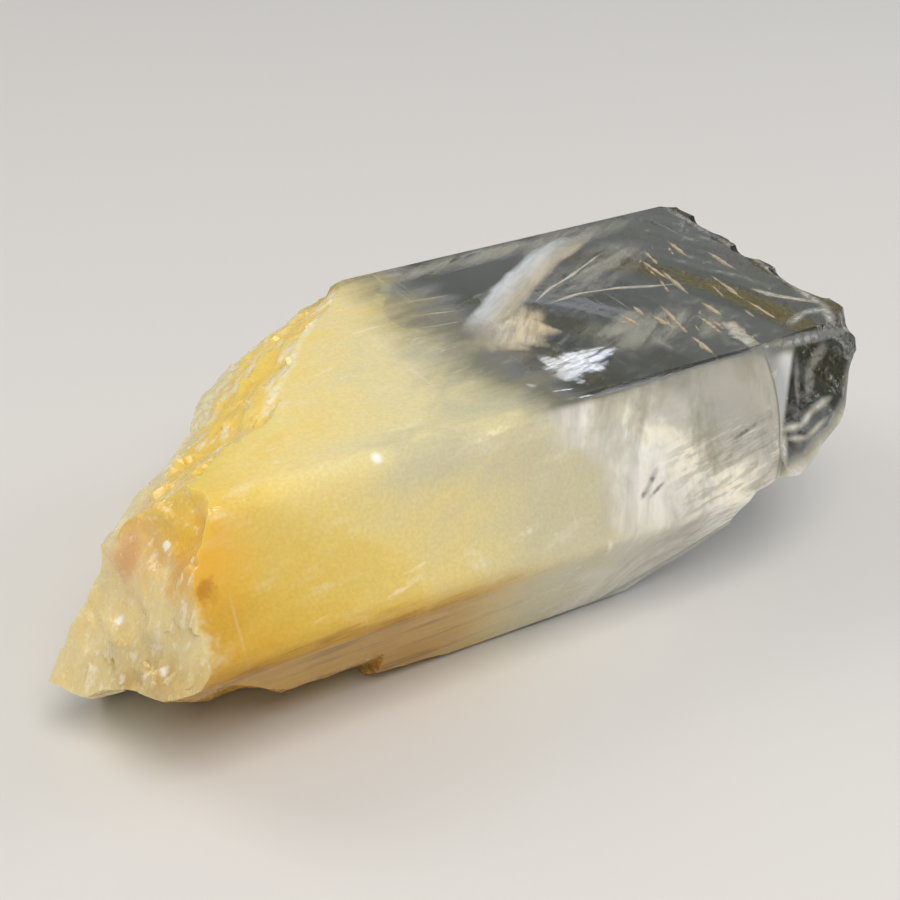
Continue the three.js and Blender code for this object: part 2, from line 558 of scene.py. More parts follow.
@dataclass(frozen=True)
class Halloysite:
    """Halloysite in quartz: a yellow clay that grew in the crystal as a cloud.

    It is cream at the old tip, deep orange yellow beside it, paler towards the middle, and it
    thins to nothing. The fog's edge stands across the prism, further on at its lower front side.
    """

    start: float = -30.0  # left end of the colour ramp, mm along the crystal
    end: float = 8.0  # right end of the colour ramp
    fog_edge: float = 0.9  # where the fog is half clear, mm along the crystal
    fog_depth: float = 5.4  # half width of the fog's edge
    zones: tuple[tuple[float, str], ...] = (
        (0.00, "dfb04a"),
        (0.16, "e2b544"),
        (0.26, "e8c558"),
        (0.38, "ecd071"),
        (0.48, "f0db8c"),
        (0.58, "ebdb9c"),
        (0.68, "e4d9a8"),
        (0.79, "c9c4a4"),
        (0.89, "a8a796"),
        (1.00, "b4b6b0"),
    )

    def colour(self, at: Value) -> Value:
        """Return the cloud's colour over the crystal.

        Args:
            at: Place on the crystal in millimetres.

        Returns:
            The colour.
        """
        x, y, z = at.parts
        swirl = pattern(at, 5.0, 3.0, 0.6, 0.8, drawn=((0.6, 1.0, 1.0), (0, 0, 12)))
        along = x + Kind.STEP(swirl, 0.25, 0.75, -2.6, 2.6)
        back = Kind.STEP(y, -3.0, 6.5, 0.0, -4.6)
        deep = Kind.STEP(z, 16.2, 13.6, 4.5, 1.4) + Kind.STEP(z, 14.5, 7.0, 0.0, -5.0)
        deep = deep * Kind.STEP(x, 2.0, -8.0) * Kind.STEP(y, -5.0, -10.5)
        along = along + back + deep
        place = (along - self.start) / (self.end - self.start)
        colour = with_stops(Kind.RAMP(place), self.zones)
        # The old tip is cream.
        worn = Kind.STEP(pattern(at, 2.2, 3.0, 0.6), 0.25, 0.75, -1.1, 1.1)
        tip = Kind.STEP(x + worn, -22.0, -23.2)
        tip = tip * Kind.STEP(z + worn, 13.4, 11.6)
        colour = Kind.BLEND(tip, colour, "e9d9a6")
        # On the front side the fog stays pale to its end.
        side = Kind.STEP(y, -11.8, -12.8) * Kind.STEP(along, -8.0, 1.0)
        colour = Kind.BLEND(side, colour, "d8d1b0")
        colour = Kind.BLEND(Kind.STEP(y, -12.0, -13.4, 0.0, 0.1), colour, "6e5c2c")
        # Paler wisps drawn out along the prism, and a fine even mottle.
        wisps = Kind.STEP(pattern(at, 1.6, 3.0, 0.62, drawn=((0.3, 0.8, 1.0), (0, 0, 14))), 0.56, 0.74)
        colour = Kind.BLEND(wisps * 0.28, colour, "f1ebd2")
        scratches = pattern(at, 0.8, 3.0, 0.6, drawn=((0.22, 1.0, 1.0), (0, -9, 9)))
        groups = Kind.STEP(pattern(at, 5.0, 1.0), 0.5, 0.62)
        fine = groups * Kind.STEP(scratches, 0.62, 0.72, 0.0, 0.5)
        colour = Kind.BLEND(fine, colour, "f8f3dc")
        # Iron stain: an orange band that follows the lower front edge, and thin flecks in it.
        flecks = pattern(at, 1.6, 3.0, 0.6, drawn=((0.2, 1.0, 1.0), (0, 0, 0)))
        patchy = Kind.STEP(flecks, 0.3, 0.58, 0.72, 1.0)
        low = Kind.STEP(z, 9.6, 7.6)
        under = Kind.STEP(y, -9.0, -12.5) * Kind.STEP(x, 1.0, -9.0)
        band = low * under
        stain = band * patchy
        colour = Kind.BLEND(stain * 0.95, colour, "bb8a00")
        drawn = pattern(at, 0.9, 3.0, 0.65, drawn=((0.1, 1.0, 1.0), (0, -4, 0)))
        streaks = band * Kind.STEP(drawn, 0.5, 0.66, 0.0, 0.6)
        colour = Kind.BLEND(streaks, colour, "7d4f08")
        mottle = Kind.STEP(pattern(at, 0.22, 2.0, 0.6), 0.3, 0.7, 0.96, 1.04)
        return Kind.TINT(1.0, colour, mottle)

    def clearness(self, at: Value) -> Value:
        """Return how clear the crystal is, from 0 in the cloud to 1.

        Args:
            at: Place on the crystal in millimetres.

        Returns:
            A value from 0 to 1.
        """
        x, y, _ = at.parts
        lower = Kind.STEP(y, -8.0, -15.0, 0.0, 4.0)
        wisps = pattern(at, 1.8, 3.0, 0.55, drawn=((0.3, 1.0, 1.0), (0, 0, 8)))
        ragged = Kind.STEP(wisps, 0.25, 0.75, -1.1, 1.1)
        lumps = Kind.STEP(pattern(at, 7.5, 1.0), 0.3, 0.7, -1.6, 1.6)
        edge = lower + self.fog_edge + ragged + lumps
        past = x - edge
        return Kind.STEP(past, -self.fog_depth, self.fog_depth)


@dataclass(frozen=True)
class Haze:
    """Milky haze in the clear end: it hangs under the front faces and ends at an old crack.

    It is grey near the cloud, white and cream in a slanting column, and beige further on, where
    fine slanting waves run through it. The crack bows out to the right; a frosted wedge stands
    beyond it.
    """

    limit: float = 19.2  # where the crack bows out furthest, mm along the crystal
    bow_height: float = 14.0  # and how high that is
    bow: float = 0.072  # how far it falls back for each square millimetre of height from there
    wedge_foot: Pair = (19.2, 11.6)  # where the wedge ends, along and up
    wedge_lean: float = 0.62  # how far its edge runs on for each millimetre up
    stops: tuple[tuple[float, str], ...] = (
        (0.15, "dad5c6"),
        (0.30, "e6e3da"),
        (0.42, "f1efe6"),
        (0.52, "f4eedb"),
        (0.64, "cecbbf"),
        (0.80, "b4b2a8"),
        (0.95, "bdb9ad"),
    )

    def past_crack(self, x: Value, z: Value) -> Value:
        """Return how far a place lies beyond the crack.

        Args:
            x: Place along the crystal.
            z: Its height.

        Returns:
            The distance in millimetres.
        """
        rise = z - self.bow_height
        bowed = rise * rise * self.bow
        return x - self.limit + bowed

    def amount(self, at: Value) -> Value:
        """Return how milky the crystal is.

        Args:
            at: Place on the crystal in millimetres.

        Returns:
            A value from 0 to 1.
        """
        x, y, z = at.parts
        front = Kind.STEP(y, -11.9, -12.4)
        past = self.past_crack(x, z)
        broad = pattern(at, 3.2, 4.0, 0.6, 0.4, drawn=((1.0, 0.5, 0.5), (0, 25, 0)))
        milk = Kind.STEP(broad, 0.34, 0.58, 0.6, 0.98)
        milk = milk * Kind.STEP(past, 0.1, -0.3)
        lean = z * self.wedge_lean + (self.wedge_foot[0] - self.wedge_lean * self.wedge_foot[1])
        wedge = Kind.STEP(past, -0.15, 0.1) * Kind.STEP(x - lean, 0.15, -0.35)
        wedge = wedge * Kind.STEP(x - lean, -2.2, -0.9, 0.6, 0.96)
        wedge = wedge * Kind.STEP(broad, 0.3, 0.6, 0.8, 1.0)
        return front * Kind.MOST(milk, wedge)

    def colour(self, at: Value) -> Value:
        """Return the haze's colour.

        Args:
            at: Place on the crystal in millimetres.

        Returns:
            The colour.
        """
        x, _, z = at.parts
        sway = Kind.STEP(pattern(at, 3.0, 4.0, 0.6, 0.5), 0.3, 0.7, -1.8, 1.8)
        slanted = z * 1.2 + x + sway
        place = (slanted - 1.2 * 12.0) / 20.0
        colour = with_stops(Kind.RAMP(place), self.stops)
        colour = Kind.BLEND(Kind.STEP(z, 14.8, 16.2, 0.0, 0.35), colour, "8f8f88")
        streaks = pattern(at, 1.1, 4.0, 0.6, 0.3, drawn=((0.9, 0.12, 0.12), (0, 24, 0)))
        early = Kind.STEP(x, 10.5, 7.0)
        streaks = early * Kind.STEP(streaks, 0.36, 0.64, -0.12, 0.12)
        colour = Kind.TINT(1.0, colour, streaks + 1.0)
        waves = pattern(at, 0.42, 3.0, 0.6, 0.3, drawn=((0.16, 1.0, 1.0), (0, -12, 0)))
        here = Kind.STEP(x, 8.0, 11.0) * Kind.STEP(z, 13.4, 11.8)
        dark = here * Kind.STEP(waves, 0.53, 0.38)
        colour = Kind.BLEND(dark * 0.4, colour, "8a8472")
        light = here * Kind.STEP(waves, 0.55, 0.7)
        colour = Kind.BLEND(light * 0.5, colour, "fbf7ea")
        lines = pattern(at, 0.7, 3.0, 0.6, drawn=((1.0, 0.05, 0.05), (0, 6, 0)))
        colour = Kind.BLEND(Kind.STEP(lines, 0.54, 0.75, 0.0, 0.22), colour, "f1eee6")
        past = self.past_crack(x, z)
        wedge = Kind.BLEND(Kind.STEP(past, 0.6, 1.8), "b9bcbc", "dedfdd")
        return Kind.BLEND(Kind.STEP(past, -0.15, 0.05), colour, wedge)


class Face(Enum):
    """The grown faces that marks lie on, each by its outward direction."""

    FRONT = (0.0, -0.866, 0.5)
    TOP = (0.0, 0.0, 1.0)

    def place(self, along: float, other: float) -> Vec:
        """Return a point of the face.

        Args:
            along: Its place along the crystal.
            other: Its height on the front face, or its place across the top face.

        Returns:
            The point in millimetres.
        """
        if self is Face.TOP:
            return (along, other, PrismSection().thickness)
        return (along, PrismSection().front_at(other), other)


@dataclass(frozen=True)
class Scar:
    """A soft mark along a run on a face: a crack, an arc, a scratch, a white bruise or a painted
    highlight.
    """

    start: Pair
    end: Pair
    width: float  # in mm
    colour: str
    strength: float
    broken: float = 0.3  # how far gaps thin it out
    face: Face = Face.FRONT
    depth: float = 2.4  # how far it reaches in from the face, in mm

    def amount(self, at: Value, gaps: Value) -> Value:
        """Return how strong the mark is.

        Args:
            at: Place on the crystal in millimetres.
            gaps: Where the mark is thinned out, from 0 to 1.

        Returns:
            A value from 0 to 1.
        """
        start, end = (Vector(self.face.place(*corner)) for corner in (self.start, self.end))
        along = (end - start).normalized()
        outward = Vector(self.face.value).normalized()
        across = along.cross(outward)
        axes = Matrix((along, outward, across)).transposed()
        # The patch fades towards its surface, so it is longer and wider than what shows of it.
        size = (0.66 * (end - start).length + 0.5 * self.width, self.depth, 0.7 * self.width)
        patch = long_patch(at, tuple((start + end) / 2), axes, size)
        kept = gaps * -self.broken + 1.0
        return patch * kept * self.strength


def trail(corners: Sequence[Pair], *look: Any) -> tuple[Scar, ...]:
    """Return the marks that together follow a bent line."""
    return tuple(Scar(start, end, *look) for start, end in zip(corners, corners[1:]))


# What lies on the grown faces: a start and an end, width, colour, strength and how broken it is.
RIM = trail(((17, 8.2), (20.6, 8.9), (23.6, 9.9), (25.8, 11.5), (27, 13.6)), 2.3, "d4d2cb", 1.0, 0.15)
ARCS = (
    *trail(((19.0, 11.4), (20.6, 11.3), (21.9, 11.9), (23.6, 12.3)), 0.6, "dfe1e1", 0.85, 0.2),
    *trail(((19.2, 10.8), (20.8, 10.5), (22.9, 11.2)), 0.45, "cfd1d1", 0.8, 0.2),
    Scar((18.9, 11.2), (18.2, 9.4), 0.8, "d8d8d4", 0.9),
    *trail(((22.0, 13.0), (22.6, 14.4), (24.2, 15.3)), 0.9, "a3aeb4", 0.4, 0.6),
    Scar((20.8, 12.6), (21.6, 15.2), 0.5, "8f9aa1", 0.35, 0.6),
    Scar((18.4, 16.3), (26.4, 15.9), 0.8, "c8c9c5", 0.75, 0.5),
)
CRACKS = (
    *trail(((6.7, 10.2), (7.4, 10.7), (8.4, 11.5)), 0.42, "6a675a", 0.8, 0.5),
    Scar((7.3, 10.1), (8.7, 10.7), 0.3, "7d7969", 0.8, 0.4),
    Scar((14.4, 11.7), (17.2, 12.3), 0.32, "77736a", 0.85, 0.5),
    Scar((12.2, 10.9), (13.6, 11.3), 0.3, "8a8577", 0.75, 0.5),
)
SCRATCHES_AND_PAINTED_HIGHLIGHT = (
    # The first is no scratch but a painted highlight: a white dot where the lamp would shine on the
    # face.
    Scar((-10.1, 16.3), (-9.9, 16.3), 0.75, "fffef8", 1.0, 0.0),
    Scar((-3.8, 15.7), (-0.9, 16.1), 0.5, "f8f2cc", 0.7, 0.8),
    Scar((-2.7, 10.2), (-0.6, 10.7), 0.5, "f2eee0", 0.5, 0.8),
    Scar((-5.9, 10.3), (-5.1, 9.3), 1.1, "efe9d4", 0.5, 0.8),
    Scar((3.7, 8.5), (3.8, 7.9), 0.4, "f6f2e4", 0.8),
    Scar((-21.6, 16.0), (-19.2, 15.6), 0.7, "f6e8c0", 0.5, 0.8),
    Scar((-13.0, 8.3), (-3.9, 7.7), 0.7, "a8741c", 0.4, 0.8),
)
TOP_SCRATCHES = (Scar((-13.2, -3.2), (-10.4, -4.2), 1.0, "f2e8cc", 0.5, 0.8, Face.TOP),)
STRIATED: Drawn = ((1, 0.04, 0.04), (0, 0, 0))  # growth lines run across the prism's length
WANDER: Vec = (1.0, 0.8, 0.5)  # how far red, green and blue light wander in the yellow clay
# Painted highlights at the tip: small places painted near white where the surface would shine, centre
# and size.
PAINTED_GLINTS = (
    ((-23.2, -9.6, 12.6), 0.5),
    ((-22.5, -10.3, 13.4), 0.3),
    ((-24.7, -14.1, 7.9), 0.42),
    ((-24.0, -14.2, 9.4), 0.3),
    ((-22.4, -16.1, 9.5), 0.3),
    ((-25.5, -9.4, 8.7), 0.42),
    ((-27.2, -8.7, 6.8), 0.3),
)
# Iron stains about the tip: centre, size, colour and strength.
STAINS = (
    ((-21.4, -13.0, 13.8), 4.2, "f4b93a", 0.55),
    ((-24.2, -8.6, 12.6), 3.8, "ebc78c", 0.75),
    ((-24.1, -8.3, 12.0), 1.5, "d9a268", 0.65),
    ((-22.5, -12.4, 12.6), 1.7, "dc9c34", 0.55),
    ((-21.8, -14.2, 12.6), 0.9, "b06f14", 0.55),
)
TOP_RIM = (
    *trail(((28.7, 11.6), (28.2, 4), (27.9, -0.5), (27, -6)), 0.6, "cfcdc4", 0.75, 0.8, Face.TOP, 1.2),
    *trail(((27.0, -6.0), (26.6, -9.4), (25.0, -12.0)), 0.7, "d3d1c8", 0.85, 0.5, Face.TOP, 1.2),
    *trail(((22.7, -10.3), (24.5, -9.5), (26.6, -9.7)), 0.7, "d9d8d2", 0.8, 0.6, Face.TOP, 1.2),
)
CREST = trail(((-3.4, 8.9), (-7.8, 3.5), (-11, -0.8), (-13.2, -3.2)), 0.9, "f9f3d8", 0.9, 0.7, Face.TOP)


@dataclass(frozen=True)
class QuartzFinish:
    """Quartz with a cloud in it, for one kind of surface of the crystal.

    A grown prism face is glassy and faintly striated across its length. A fresh break is glassy
    and rippled. A hackly break is crushed to fine flakes that scatter white.
    """

    name: str
    roughness: Pair  # smoothest and roughest
    grain: float  # size of the relief's lumps in mm
    depth: float  # height of the relief in mm
    drawn: Drawn = ((1.0, 1.0, 1.0), (0.0, 0.0, 0.0))  # stretch and turn of the relief
    frost: Pair = (0.72, 0.4)  # how rare the white flakes are, and how dense
    tint: tuple[str, float] = ("e8d9a8", 0.0)  # a colour of its own, and how much of it
    scars: tuple[Scar, ...] = ()
    painted_glints: tuple[tuple[Vec, float], ...] = ()  # painted highlights: places painted near white where the surface would shine, and their size
    flake: float = 1.1  # size of the white flakes in mm
    soft: float = 0.8  # how much of the light wanders under the surface
    pale_below: float = 0.0  # height under which the surface is pale
    cloud: Halloysite = Halloysite()
    haze: Optional[Haze] = None  # the milky haze of the clear end, where it comes to this surface

    def build(self) -> bpy.types.Material:
        """Return the material."""
        material = new_material(self.name)
        tree = material.node_tree
        at = place_on_crystal(tree)
        colour = self.stains_and_painted_glints(at, self.cloud.colour(at))
        clear = self.cloud.clearness(at)
        far = Kind.STEP(clear, 0.05, 0.5)
        if self.haze:
            milk = self.haze.amount(at)
            colour = Kind.BLEND(far * milk, colour, self.haze.colour(at))
            clear = clear * (1.0 - milk)
        flakes = pattern(at, self.flake, 3.0, 0.68, drawn=self.drawn)
        frost = Kind.STEP(flakes, self.frost[0] - 0.08, self.frost[0] + 0.08, 0.0, self.frost[1])
        colour = Kind.BLEND(frost, colour, Kind.BLEND(far, "f3ead2", "e2e0d8"))
        clear = clear * (1.0 - frost)
        gaps = Kind.STEP(pattern(at, 0.5, 2.0, 0.65), 0.42, 0.58) if self.scars else None
        for scar in self.scars:
            here = scar.amount(at, gaps)
            colour = Kind.BLEND(here, colour, scar.colour)
            clear = clear * (1.0 - here)
        # Glass takes its tint from the base colour, so that turns white where the quartz is clear.
        colour = Kind.BLEND(Kind.STEP(clear, 0.6, 1.0), colour, "fbfbf9")
        scuff = pattern(at, 1.0, 2.0, 0.7)
        lumps = pattern(at, self.grain, 3.0, 0.65, drawn=self.drawn)
        sway = pattern(at, 5.0, 1.0)
        height = sway * 0.05 + lumps * self.depth
        relief = {"Strength": 1.0, "Distance": MM, "Height": height}
        bump = add_node(tree, "ShaderNodeBump", None, relief)
        quartz = add_node(tree, "ShaderNodeBsdfPrincipled", {"subsurface_method": "RANDOM_WALK"}, {
            "Base Color": colour,
            "Roughness": Kind.STEP(scuff, 0.45, 0.8, *self.roughness),
            "IOR": 1.544,  # of quartz
            "Transmission Weight": clear,
            "Subsurface Weight": self.soft,
            "Subsurface Radius": WANDER,
            "Subsurface Scale": 1.5 * MM,
            "Normal": bump.outputs[0],
        })
        # A lamp's light reaches what lies in the clear end straight through its surface.
        lamp = add_node(tree, "ShaderNodeLightPath").outputs["Is Shadow Ray"]
        shade = Kind.BLEND(clear, "000000", "e6e8e4")
        through = add_node(tree, "ShaderNodeBsdfTransparent", None, {"Color": shade})
        ways = (lamp, quartz.outputs[0], through.outputs[0])
        mixed = add_node(tree, "ShaderNodeMixShader", None, ways)
        smoke = {"Color": "c9cec4", "Density": 14.0}
        body = add_node(tree, "ShaderNodeVolumeAbsorption", None, smoke)
        links = {"Surface": mixed.outputs[0], "Volume": body.outputs[0]}
        add_node(tree, "ShaderNodeOutputMaterial", None, links)
        return material

    def stains_and_painted_glints(self, at: Value, colour: Value) -> Value:
        """Return the colour with this surface's own tint, the stains about the tip and the painted
        highlights at the tip.

        Args:
            at: Place on the crystal in millimetres.
            colour: The cloud's colour.

        Returns:
            The colour.
        """
        streaks = pattern(at, 2.0, 3.0, 0.65, drawn=self.drawn)
        amount = Kind.STEP(streaks, 0.3, 0.6, 0.25 * self.tint[1], self.tint[1])
        colour = Kind.BLEND(amount, colour, self.tint[0])
        ragged = Kind.STEP(pattern(at, 1.4, 4.0, 0.6), 0.25, 0.75, -0.55, 0.55)
        if self.pale_below:
            height = at.parts[2] + ragged
            pale = Kind.STEP(height, self.pale_below + 0.8, self.pale_below - 0.8, 0.0, 0.8)
            colour = Kind.BLEND(pale, colour, "ddd6b4")
        for centre, radius, stain, strength in STAINS:
            here = round_patch(at, centre, radius, ragged)
            colour = Kind.BLEND(here * strength, colour, stain)
        # Painted highlights: small places at the tip painted near white, where the surface would shine.
        for centre, radius in self.painted_glints:
            here = round_patch(at, centre, radius, ragged * 0.5)
            colour = Kind.BLEND(here, colour, "fdf8e8")
        return colour


@dataclass(frozen=True)
class FlawFinish:
    """A healed crack in the quartz: a film of tiny bubbles that shines white, blue or tan.

    The film thins towards its edges and is broken by ripples that run across it.
    """

    name: str
    near: str  # colour along the near edge
    far: str  # colour along the far edge
    cover: Pair = (0.2, 0.9)  # how dense the film is, least and most
    grain: float = 1.0  # size of its ripples in mm
    stretch: Vec = (1.0, 1.0, 1.0)  # factors below 1 that draw the ripples out
    turn: float = 0.0  # turn of the ripples about Z, in degrees
    fade: Pair = (0.25, 0.35)  # how far the fade reaches in, across and along
    painted_glare: float = 0.0  # a painted glare: light of its own, where a crack would reflect the lamp

    def build(self) -> bpy.types.Material:
        """Return the material."""
        material = new_material(self.name)
        tree = material.node_tree
        along, across, _ = Value(add_node(tree, "ShaderNodeTexCoord").outputs["UV"]).parts
        at = place_on_crystal(tree)
        grains = pattern(at, self.grain, 5.0, 0.65, 0.4, drawn=(self.stretch, (0, 0, self.turn)))
        film = Kind.STEP(grains, 0.35, 0.65, *self.cover)
        sides = Kind.LEAST(across, 1.0 - across)
        ends = Kind.LEAST(along, 1.0 - along)
        edge = Kind.STEP(sides, 0.0, self.fade[0]) * Kind.STEP(ends, 0.0, self.fade[1])
        colour = Kind.BLEND(Kind.STEP(across, 0.15, 0.85), self.near, self.far)
        surface = add_node(tree, "ShaderNodeBsdfPrincipled", None, {
            "Base Color": colour,
            "Roughness": 0.45,
            "IOR": 1.3,
            "Alpha": film * edge,
            "Emission Color": colour,
            "Emission Strength": self.painted_glare,
        })
        add_node(tree, "ShaderNodeOutputMaterial", None, {"Surface": surface.outputs[0]})
        return material


# ---- The crystal ----


@dataclass
class PrismBlank:
    """A length of the prism before anything is broken off it."""

    name: str
    start: float
    end: float
    section: PrismSection = PrismSection()
    inset: float = 0.0
    wear: Optional[Pair] = None  # width of the worn edges at the start and the end

    def build(self) -> Piece:
        """Return the blank as a closed solid."""
        deselect_all()
        bpy.ops.mesh.primitive_circle_add(vertices=6, radius=1.0, fill_type="NGON")
        blank = bpy.context.object
        blank.name = self.name
        ring = np.array([(self.start, y, z) for y, z in self.section.corners(self.inset)])
        set_coordinates(blank, ring)
        with editing(blank):
            length = self.end - self.start
            bpy.ops.mesh.extrude_region_move(TRANSFORM_OT_translate={"value": (length, 0, 0)})
            bpy.ops.mesh.select_all(action="SELECT")
            bpy.ops.mesh.normals_make_consistent(inside=False)
        if self.wear:
            self.wear_edges(blank, *self.wear)
        return blank

    def wear_edges(self, blank: Piece, widest: float, narrowest: float) -> None:
        """Round the long edges, more at the start than at the end.

        Args:
            blank: The solid.
            widest: Width of the rounding at the start.
            narrowest: Width of the rounding at the end.
        """
        with editing(blank):
            bpy.ops.mesh.select_mode(type="EDGE")
            bpy.ops.mesh.select_all(action="DESELECT")
        points = coordinates(blank)
        for edge in blank.data.edges:
            a, b = edge.vertices
            edge.select = abs(points[a][0] - points[b][0]) > 1.0
        bpy.ops.object.mode_set(mode="EDIT")
        bpy.ops.mesh.bevel(offset=widest, segments=5, affect="EDGES")
        bpy.ops.object.mode_set(mode="OBJECT")
        points = coordinates(blank)
        corners = np.array(self.section.corners(self.inset))
        ends = points[:, 0] > self.end - 0.01
        for k in np.nonzero(ends)[0]:
            nearest = corners[np.argmin(np.hypot(*(corners - points[k, 1:]).T))]
            points[k, 1:] = nearest + (points[k, 1:] - nearest) * narrowest / widest
        set_coordinates(blank, points)


@dataclass
class Break:
    """A broken surface: a plane with relief on it, and everything outside it is gone."""

    name: str
    at: Vec
    outward: Vec
    relief: Relief
    surface: Surface
    pitch: float = 0.24  # distance from one mesh point to the next
    depth: float = 45.0  # how far outwards the block of the tool reaches

    def reach(self, body: Piece, into: Matrix) -> tuple[Array, Array]:
        """Return the part of the plane that the body touches.

        Args:
            body: The solid that is cut.
            into: Transform from the crystal's coordinates to the break's.

        Returns:
            Lowest and highest u and v.
        """
        local = carried(coordinates(body), into)
        ends = np.empty(len(body.data.edges) * 2, dtype=int)
        body.data.edges.foreach_get("vertices", ends)
        a, b = local[ends[0::2]], local[ends[1::2]]
        deepest = -3.0  # lower than the relief reaches anywhere
        through = (a[:, 2] - deepest) * (b[:, 2] - deepest) < 0
        a, b = a[through], b[through]
        share = ((deepest - a[:, 2]) / (b[:, 2] - a[:, 2]))[:, None]
        touched = np.vstack([local[local[:, 2] > deepest], a + (b - a) * share])[:, :2]
        return touched.min(0) - 1.0, touched.max(0) + 1.0

    def tool(self, body: Piece) -> Piece:
        """Return the block that this break takes away.

        Args:
            body: The solid that is cut.

        Returns:
            A closed solid whose inner face is the broken surface.
        """
        place = facing(self.at, self.outward)
        low, high = self.reach(body, place.inverted())
        columns, rows = (max(4, round(float(s) / self.pitch)) for s in high - low)
        deselect_all()
        bpy.ops.mesh.primitive_grid_add(x_subdivisions=columns, y_subdivisions=rows, size=2.0)
        block = bpy.context.object
        block.name = self.name
        points = coordinates(block)
        u = (low[0] + high[0]) / 2 + points[:, 0] * (high[0] - low[0]) / 2
        v = (low[1] + high[1]) / 2 + points[:, 1] * (high[1] - low[1]) / 2
        set_coordinates(block, np.stack([u, v, self.relief(u, v)], axis=1))
        with editing(block):
            bpy.ops.mesh.extrude_region_move(TRANSFORM_OT_translate={"value": (0, 0, self.depth)})
            bpy.ops.transform.resize(value=(1, 1, 0), center_override=(0, 0, self.depth))
            bpy.ops.mesh.select_all(action="SELECT")
            bpy.ops.mesh.normals_make_consistent(inside=False)
        set_coordinates(block, carried(coordinates(block), place))
        dress_tool(block, self.surface)
        return block


@dataclass
class Chip:
    """A shell-shaped chip: an uneven ellipsoid set into a face or an edge."""

    at: Vec
    outward: Vec
    across: float
    along: float
    depth: float
    surface: Surface = Surface.CHIP
    detail: int = 5

    def tool(self) -> Piece:
        """Return the ellipsoid that the chip takes away."""
        deselect_all()
        bpy.ops.mesh.primitive_ico_sphere_add(subdivisions=self.detail, radius=1.0)
        ball = bpy.context.object
        points = coordinates(ball)
        ripple = 0.02 * np.sin(14.0 * (points[:, 0] + 1.3)) + 0.05 * noise(
            3 * points[:, 0] + self.at[0], 3 * points[:, 1] + self.at[1], 51
        )
        bulge = 3.0 * self.depth
        spread = 1.0 / math.sqrt(1.0 - (2.0 / 3.0) ** 2)
        size = np.array([self.across / 2 * spread, self.along / 2 * spread, bulge])
        points = points * (1.0 + ripple)[:, None] * size + np.array([0, 0, bulge - self.depth])
        place = facing(self.at, self.outward)
        set_coordinates(ball, carried(points, place))
        dress_tool(ball, self.surface)
        return ball


def dress_tool(tool: Piece, surface: Surface) -> None:
    """Give a cutting tool the crystal's slots, and its faces the slot of what it leaves.

    Args:
        tool: The solid that cuts.
        surface: The finish of the surface that it leaves.
    """
    for _ in Surface:
        tool.data.materials.append(None)
    tool.data.polygons.foreach_set("material_index", [surface.value] * len(tool.data.polygons))


